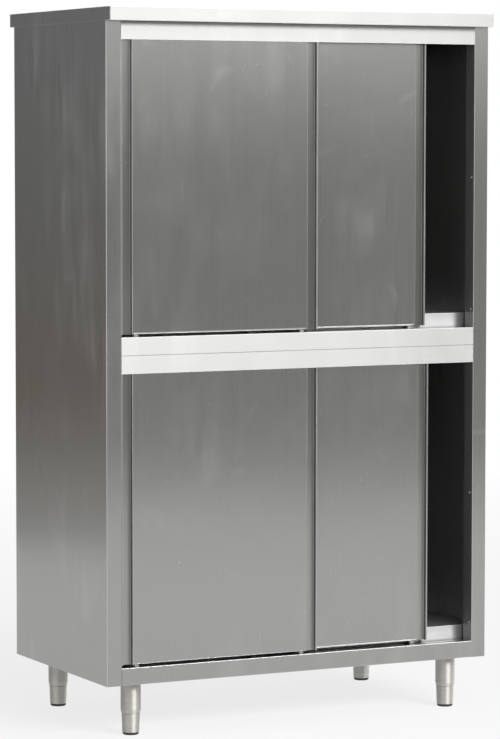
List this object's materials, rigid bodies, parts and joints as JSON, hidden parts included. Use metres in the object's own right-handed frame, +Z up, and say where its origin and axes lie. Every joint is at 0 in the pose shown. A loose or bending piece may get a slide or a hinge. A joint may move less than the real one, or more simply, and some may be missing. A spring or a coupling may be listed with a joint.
{
  "type": "stainless steel storage cabinet",
  "caption": "Tall free-standing steel kitchen cabinet with stacked compartments closed by sliding doors on hung rollers, and round legs with adjustable feet.",
  "frame": {"origin": "on the floor, in the middle of the area that the top covers", "axes": "+Z up, front towards -Y, +X to the right as seen from the front"},
  "size_m": [1.2, 0.7, 2],
  "materials": {
    "stainless_sheet": "fine brushed grain",
    "stainless_tube": "satin, brushed round",
    "track_aluminium": "mill finish",
    "plated_steel": "zinc plated",
    "white_nylon": "moulded",
    "grey_plastic": "moulded",
    "black_plastic": "moulded"
  },
  "bodies": {
    "carcass": {"top_cap": "stainless_sheet", "top_stiffeners": "stainless_sheet", "left_side_panel": "stainless_sheet", "right_side_panel": "stainless_sheet", "upper_back_panel": "stainless_sheet", "lower_back_panel": "stainless_sheet", "upper_floor": "stainless_sheet", "upper_floor_stiffeners": "stainless_sheet", "lower_floor": "stainless_sheet", "base_runners": "stainless_sheet", "upper_header": "stainless_sheet", "upper_ledge_rail": "stainless_sheet", "lower_header": "stainless_sheet", "lower_ledge_rail": "stainless_sheet", "upper_door_track": "track_aluminium", "lower_door_track": "track_aluminium", "track_stops": "white_nylon", "bottom_guides": "stainless_sheet", "door_buffers": "grey_plastic", "leg_plates": "stainless_sheet", "leg_bolts": "plated_steel", "leg_nuts": "plated_steel", "leg_inserts": "plated_steel", "front_left_leg": "stainless_tube", "front_right_leg": "stainless_tube", "back_left_leg": "stainless_tube", "back_right_leg": "stainless_tube"},
    "upper_left_door": {"upper_left_door_skin": "stainless_sheet", "upper_left_door_liner": "stainless_sheet", "upper_left_door_hangers": "plated_steel", "upper_left_door_glides": "white_nylon"},
    "upper_left_door_left_roller": {"upper_left_door_left_roller": "white_nylon"},
    "upper_left_door_right_roller": {"upper_left_door_right_roller": "white_nylon"},
    "upper_right_door": {"upper_right_door_skin": "stainless_sheet", "upper_right_door_liner": "stainless_sheet", "upper_right_door_hangers": "plated_steel", "upper_right_door_glides": "white_nylon"},
    "upper_right_door_left_roller": {"upper_right_door_left_roller": "white_nylon"},
    "upper_right_door_right_roller": {"upper_right_door_right_roller": "white_nylon"},
    "lower_left_door": {"lower_left_door_skin": "stainless_sheet", "lower_left_door_liner": "stainless_sheet", "lower_left_door_hangers": "plated_steel", "lower_left_door_glides": "white_nylon"},
    "lower_left_door_left_roller": {"lower_left_door_left_roller": "white_nylon"},
    "lower_left_door_right_roller": {"lower_left_door_right_roller": "white_nylon"},
    "lower_right_door": {"lower_right_door_skin": "stainless_sheet", "lower_right_door_liner": "stainless_sheet", "lower_right_door_hangers": "plated_steel", "lower_right_door_glides": "white_nylon"},
    "lower_right_door_left_roller": {"lower_right_door_left_roller": "white_nylon"},
    "lower_right_door_right_roller": {"lower_right_door_right_roller": "white_nylon"},
    "front_left_foot": {"front_left_foot": "stainless_tube", "front_left_sole": "black_plastic"},
    "front_right_foot": {"front_right_foot": "stainless_tube", "front_right_sole": "black_plastic"},
    "back_left_foot": {"back_left_foot": "stainless_tube", "back_left_sole": "black_plastic"},
    "back_right_foot": {"back_right_foot": "stainless_tube", "back_right_sole": "black_plastic"}
  },
  "joints": [
    {"name": "upper_left_door_slide", "type": "slide", "parent": "carcass", "child": "upper_left_door", "axis": [1, 0, 0], "range_m": [0, 0.5002]},
    {"name": "upper_left_door_left_roller_spin", "type": "hinge", "parent": "upper_left_door", "child": "upper_left_door_left_roller", "pos_m": [-0.4835, -0.308, 1.9495], "axis": [0, 1, 0], "range_deg": [-5, 4100]},
    {"name": "upper_left_door_right_roller_spin", "type": "hinge", "parent": "upper_left_door", "child": "upper_left_door_right_roller", "pos_m": [-0.0185, -0.308, 1.9495], "axis": [0, 1, 0], "range_deg": [-5, 4100]},
    {"name": "upper_right_door_slide", "type": "slide", "parent": "carcass", "child": "upper_right_door", "axis": [1, 0, 0], "range_m": [-0.3582, 0.142]},
    {"name": "upper_right_door_left_roller_spin", "type": "hinge", "parent": "upper_right_door", "child": "upper_right_door_left_roller", "pos_m": [-0.1235, -0.284, 1.9495], "axis": [0, 1, 0], "range_deg": [-2937, 1168]},
    {"name": "upper_right_door_right_roller_spin", "type": "hinge", "parent": "upper_right_door", "child": "upper_right_door_right_roller", "pos_m": [0.3415, -0.284, 1.9495], "axis": [0, 1, 0], "range_deg": [-2937, 1168]},
    {"name": "lower_left_door_slide", "type": "slide", "parent": "carcass", "child": "lower_left_door", "axis": [1, 0, 0], "range_m": [0, 0.5002]},
    {"name": "lower_left_door_left_roller_spin", "type": "hinge", "parent": "lower_left_door", "child": "lower_left_door_left_roller", "pos_m": [-0.4835, -0.308, 1.041], "axis": [0, 1, 0], "range_deg": [-5, 4100]},
    {"name": "lower_left_door_right_roller_spin", "type": "hinge", "parent": "lower_left_door", "child": "lower_left_door_right_roller", "pos_m": [-0.0185, -0.308, 1.041], "axis": [0, 1, 0], "range_deg": [-5, 4100]},
    {"name": "lower_right_door_slide", "type": "slide", "parent": "carcass", "child": "lower_right_door", "axis": [1, 0, 0], "range_m": [-0.3702, 0.13]},
    {"name": "lower_right_door_left_roller_spin", "type": "hinge", "parent": "lower_right_door", "child": "lower_right_door_left_roller", "pos_m": [-0.1115, -0.284, 1.041], "axis": [0, 1, 0], "range_deg": [-3036, 1070]},
    {"name": "lower_right_door_right_roller_spin", "type": "hinge", "parent": "lower_right_door", "child": "lower_right_door_right_roller", "pos_m": [0.3535, -0.284, 1.041], "axis": [0, 1, 0], "range_deg": [-3036, 1070]},
    {"name": "front_left_foot_height", "type": "slide", "parent": "carcass", "child": "front_left_foot", "axis": [0, 0, -1], "range_m": [0, 0.04]},
    {"name": "front_right_foot_height", "type": "slide", "parent": "carcass", "child": "front_right_foot", "axis": [0, 0, -1], "range_m": [0, 0.04]},
    {"name": "back_left_foot_height", "type": "slide", "parent": "carcass", "child": "back_left_foot", "axis": [0, 0, -1], "range_m": [0, 0.04]},
    {"name": "back_right_foot_height", "type": "slide", "parent": "carcass", "child": "back_right_foot", "axis": [0, 0, -1], "range_m": [0, 0.04]}
  ],
  "couplings": [
    {"joint": "upper_left_door_left_roller_spin", "follows": "upper_left_door_slide", "rad_per_m": 142.86},
    {"joint": "upper_left_door_right_roller_spin", "follows": "upper_left_door_slide", "rad_per_m": 142.86},
    {"joint": "upper_right_door_left_roller_spin", "follows": "upper_right_door_slide", "rad_per_m": 142.86},
    {"joint": "upper_right_door_right_roller_spin", "follows": "upper_right_door_slide", "rad_per_m": 142.86},
    {"joint": "lower_left_door_left_roller_spin", "follows": "lower_left_door_slide", "rad_per_m": 142.86},
    {"joint": "lower_left_door_right_roller_spin", "follows": "lower_left_door_slide", "rad_per_m": 142.86},
    {"joint": "lower_right_door_left_roller_spin", "follows": "lower_right_door_slide", "rad_per_m": 142.86},
    {"joint": "lower_right_door_right_roller_spin", "follows": "lower_right_door_slide", "rad_per_m": 142.86}
  ]
}
